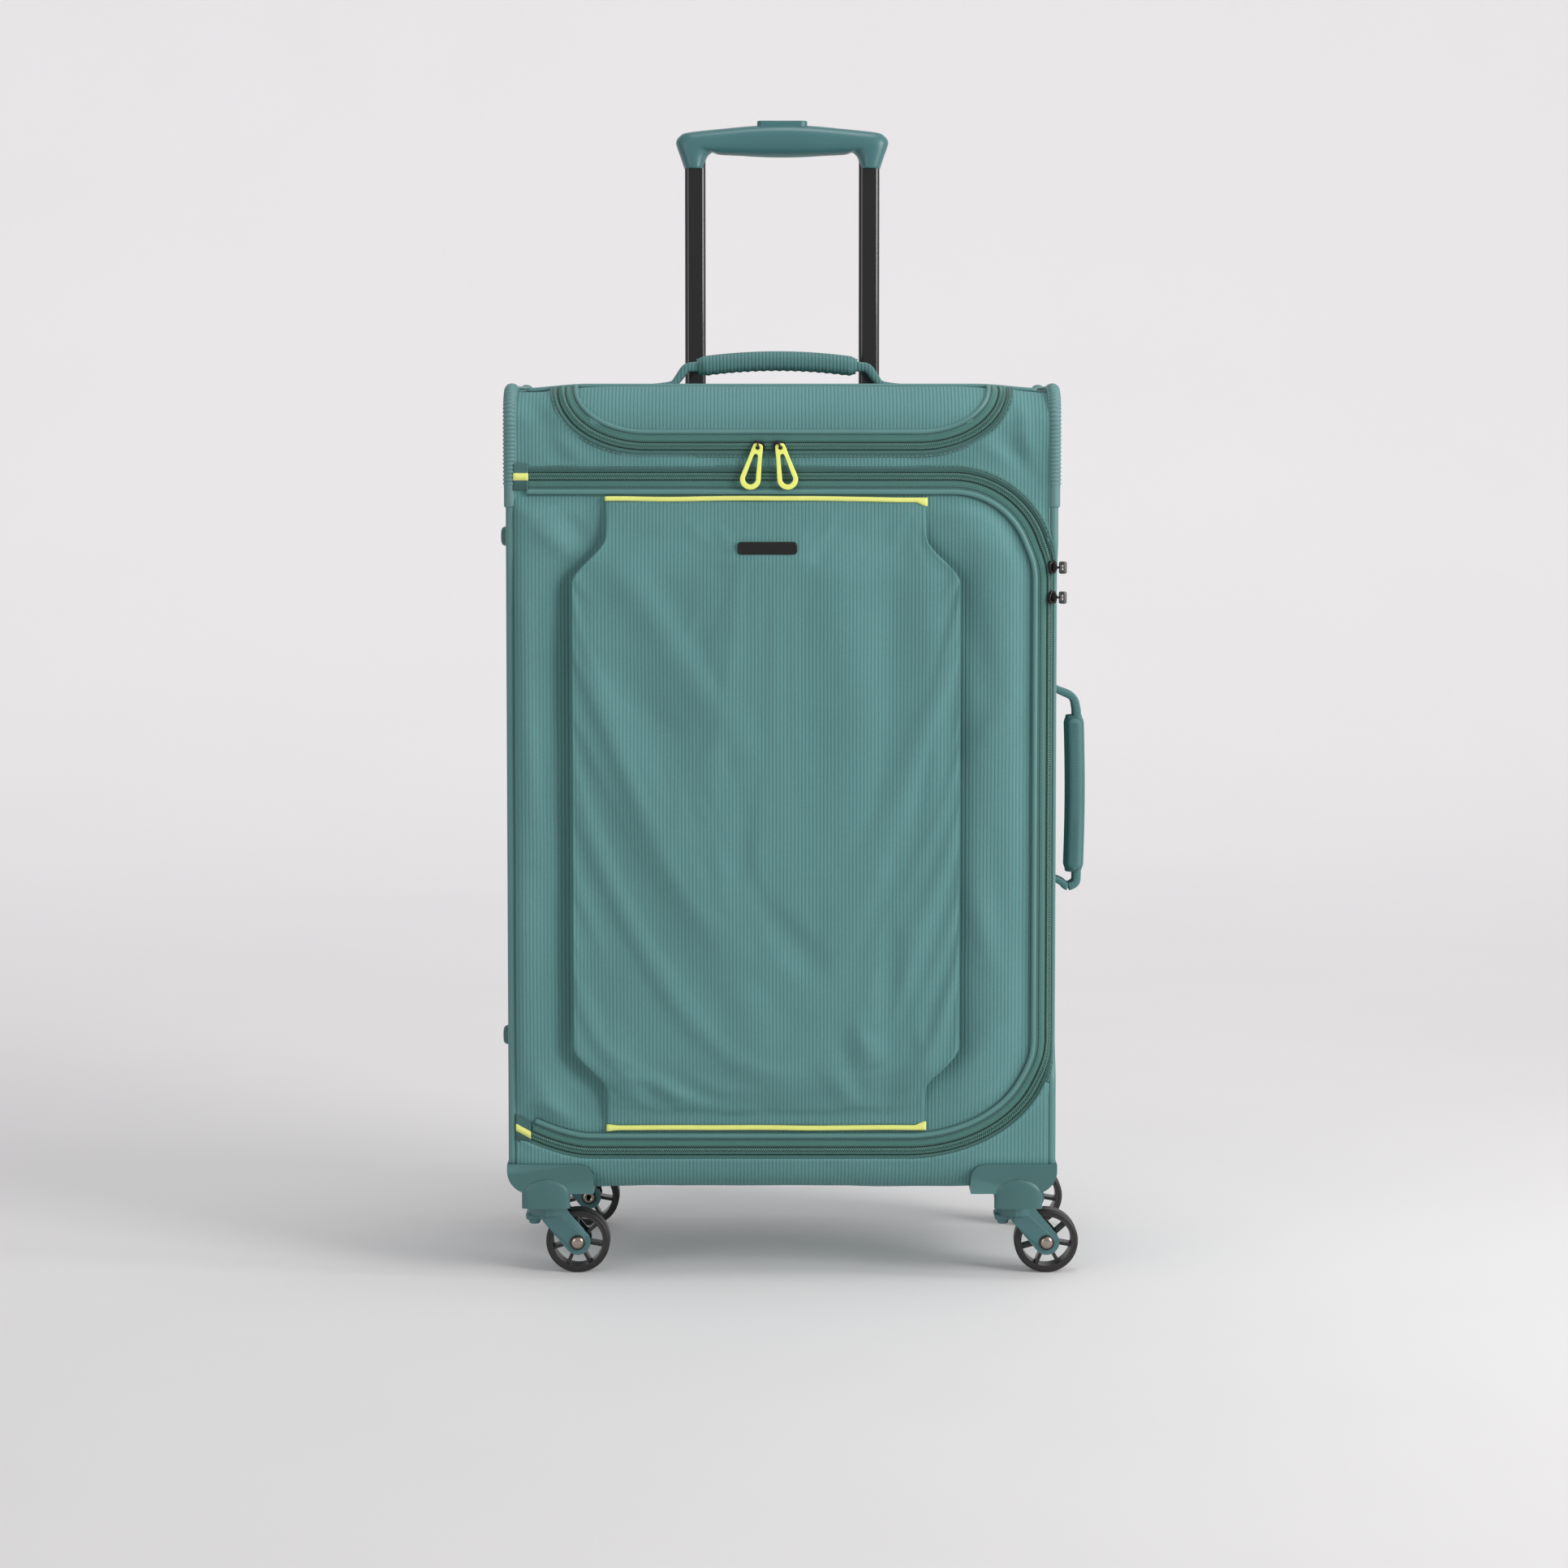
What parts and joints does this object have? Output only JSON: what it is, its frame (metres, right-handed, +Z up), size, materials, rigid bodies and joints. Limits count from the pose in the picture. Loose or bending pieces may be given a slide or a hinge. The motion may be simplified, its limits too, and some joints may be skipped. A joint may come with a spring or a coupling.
{
  "type": "softside upright suitcase",
  "caption": "Softside upright suitcase with a zipped lid, top flap, padded front pocket, telescopic handle, carry handles and swivel casters.",
  "frame": {"origin": "on the floor, midway between the four swivel axes", "axes": "+Z up, -Y towards the front with the pocket, +X towards the side that carries the side handle"},
  "size_m": [0.461, 0.2745, 0.9099],
  "materials": {
    "shell_fabric": "ribbed twill",
    "pocket_fabric": "ribbed twill",
    "piping": "satin cord piping",
    "guard_rubber": "ribbed, satin",
    "zip_tape": "woven tape with moulded coil",
    "yellow_trim": "binding tape",
    "badge_black": "blank, satin rim",
    "pull_yellow": "soft moulded",
    "slider_black": "black enamel",
    "pull_metal": "gunmetal",
    "handle_fabric": "ribbed, padded",
    "grip_plastic": "fine texture",
    "tube_black": "black anodised",
    "inner_plastic": "moulded",
    "housing_plastic": "fine texture",
    "screw_steel": "zinc plated",
    "lining_cloth": "thin plain weave",
    "strap_webbing": "webbing",
    "tag_window": "clear vinyl",
    "fork_plastic": "moulded",
    "wheel_black": "satin rubber",
    "pin_steel": "nickel"
  },
  "bodies": {
    "case": {"back_panel": "shell_fabric", "body_piping": "piping", "bottom_panel": "shell_fabric", "corner_guards": "guard_rubber", "front_frame": "shell_fabric", "front_left_housing": "housing_plastic", "front_right_housing": "housing_plastic", "handle_anchors": "handle_fabric", "housing_screws": "screw_steel", "left_side_panel": "shell_fabric", "lining": "lining_cloth", "main_zip_body_half": "zip_tape", "name_tag_window": "tag_window", "packing_straps": "strap_webbing", "rear_left_housing": "housing_plastic", "rear_right_housing": "housing_plastic", "right_side_panel": "shell_fabric", "side_feet": "housing_plastic", "top_panel": "shell_fabric", "top_zip_body_half": "zip_tape", "trolley_base_bracket": "inner_plastic", "trolley_bezel": "grip_plastic", "trolley_outer_tubes": "tube_black", "zip_end_tabs": "zip_tape"},
    "lid": {"lid_panel": "shell_fabric", "lid_zip_half": "zip_tape", "lid_piping": "piping", "lid_lining": "lining_cloth", "front_pocket": "pocket_fabric", "pocket_trim": "yellow_trim", "badge": "badge_black"},
    "top_flap": {"top_flap": "shell_fabric", "flap_zip_half": "zip_tape"},
    "top_slider_left": {"top_slider_left": "slider_black"},
    "top_slider_right": {"top_slider_right": "slider_black"},
    "top_pull_left": {"top_pull_left": "pull_yellow"},
    "top_pull_right": {"top_pull_right": "pull_yellow"},
    "main_slider_upper": {"main_slider_upper": "slider_black"},
    "main_slider_lower": {"main_slider_lower": "slider_black"},
    "main_pull_upper": {"main_pull_upper": "pull_metal"},
    "main_pull_lower": {"main_pull_lower": "pull_metal"},
    "trolley_middle": {"trolley_middle_tubes": "tube_black"},
    "trolley_inner": {"trolley_inner_tubes": "tube_black", "trolley_grip": "grip_plastic"},
    "release_button": {"release_button": "grip_plastic", "release_push_rods": "inner_plastic"},
    "top_handle": {"top_handle": "handle_fabric"},
    "side_handle": {"side_handle": "handle_fabric"},
    "front_left_caster": {"front_left_fork": "fork_plastic", "front_left_pins": "pin_steel"},
    "front_left_wheel": {"front_left_wheel": "wheel_black"},
    "front_right_caster": {"front_right_fork": "fork_plastic", "front_right_pins": "pin_steel"},
    "front_right_wheel": {"front_right_wheel": "wheel_black"},
    "rear_left_caster": {"rear_left_fork": "fork_plastic", "rear_left_pins": "pin_steel"},
    "rear_left_wheel": {"rear_left_wheel": "wheel_black"},
    "rear_right_caster": {"rear_right_fork": "fork_plastic", "rear_right_pins": "pin_steel"},
    "rear_right_wheel": {"rear_right_wheel": "wheel_black"}
  },
  "joints": [
    {"name": "lid_hinge", "type": "hinge", "parent": "case", "child": "lid", "pos_m": [-0.206, -0.13, 0.3625], "axis": [0, 0, -1], "range_deg": [0, 170]},
    {"name": "top_flap_hinge", "type": "hinge", "parent": "case", "child": "top_flap", "pos_m": [0, -0.1, 0.692], "axis": [-1, 0, 0], "range_deg": [0, 150]},
    {"name": "top_slider_left_travel", "type": "slide", "parent": "top_flap", "child": "top_slider_left", "axis": [-1, 0, 0], "range_m": [0, 0.084]},
    {"name": "top_slider_right_travel", "type": "slide", "parent": "top_flap", "child": "top_slider_right", "axis": [1, 0, 0], "range_m": [0, 0.1]},
    {"name": "top_pull_left_swing", "type": "hinge", "parent": "top_slider_left", "child": "top_pull_left", "pos_m": [-0.018, -0.134, 0.647], "axis": [-1, 0, 0], "range_deg": [0, 150]},
    {"name": "top_pull_right_swing", "type": "hinge", "parent": "top_slider_right", "child": "top_pull_right", "pos_m": [-0.002, -0.134, 0.647], "axis": [-1, 0, 0], "range_deg": [0, 150]},
    {"name": "main_slider_upper_travel", "type": "slide", "parent": "case", "child": "main_slider_upper", "axis": [0, 0, 1], "range_m": [0, 0.005]},
    {"name": "main_slider_lower_travel", "type": "slide", "parent": "case", "child": "main_slider_lower", "axis": [0, 0, -1], "range_m": [0, 0.33]},
    {"name": "main_pull_upper_swing", "type": "hinge", "parent": "main_slider_upper", "child": "main_pull_upper", "pos_m": [0.21217, -0.13067, 0.554], "axis": [0.7071, 0.7071, 0], "range_deg": [-80, 80]},
    {"name": "main_pull_lower_swing", "type": "hinge", "parent": "main_slider_lower", "child": "main_pull_lower", "pos_m": [0.21217, -0.13067, 0.531], "axis": [0.7071, 0.7071, 0], "range_deg": [-80, 80]},
    {"name": "trolley_middle_travel", "type": "slide", "parent": "case", "child": "trolley_middle", "axis": [0, 0, 1], "range_m": [0, 0.155]},
    {"name": "trolley_inner_travel", "type": "slide", "parent": "trolley_middle", "child": "trolley_inner", "axis": [0, 0, 1], "range_m": [-0.21, 0]},
    {"name": "release_button_press", "type": "slide", "parent": "trolley_inner", "child": "release_button", "axis": [0, 0, -1], "range_m": [0, 0.0022], "stiffness_N_per_m": 1500, "springref_m": -0.004},
    {"name": "top_handle_swing", "type": "hinge", "parent": "case", "child": "top_handle", "pos_m": [-0.004, -0.01, 0.6965], "axis": [1, 0, 0], "range_deg": [-30, 30]},
    {"name": "side_handle_swing", "type": "hinge", "parent": "case", "child": "side_handle", "pos_m": [0.2135, 0, 0.377], "axis": [0, 0, 1], "range_deg": [-30, 30]},
    {"name": "front_left_swivel", "type": "hinge", "parent": "case", "child": "front_left_caster", "pos_m": [-0.1835, -0.095, 0.06], "axis": [0, 0, 1], "continuous": true},
    {"name": "front_left_roll", "type": "hinge", "parent": "front_left_caster", "child": "front_left_wheel", "pos_m": [-0.16, -0.095, 0.025], "axis": [0, 1, 0], "continuous": true},
    {"name": "front_right_swivel", "type": "hinge", "parent": "case", "child": "front_right_caster", "pos_m": [0.1835, -0.095, 0.06], "axis": [0, 0, 1], "continuous": true},
    {"name": "front_right_roll", "type": "hinge", "parent": "front_right_caster", "child": "front_right_wheel", "pos_m": [0.207, -0.095, 0.025], "axis": [0, 1, 0], "continuous": true},
    {"name": "rear_left_swivel", "type": "hinge", "parent": "case", "child": "rear_left_caster", "pos_m": [-0.1835, 0.095, 0.06], "axis": [0, 0, 1], "continuous": true},
    {"name": "rear_left_roll", "type": "hinge", "parent": "rear_left_caster", "child": "rear_left_wheel", "pos_m": [-0.16, 0.095, 0.025], "axis": [0, 1, 0], "continuous": true},
    {"name": "rear_right_swivel", "type": "hinge", "parent": "case", "child": "rear_right_caster", "pos_m": [0.1835, 0.095, 0.06], "axis": [0, 0, 1], "continuous": true},
    {"name": "rear_right_roll", "type": "hinge", "parent": "rear_right_caster", "child": "rear_right_wheel", "pos_m": [0.207, 0.095, 0.025], "axis": [0, 1, 0], "continuous": true}
  ]
}
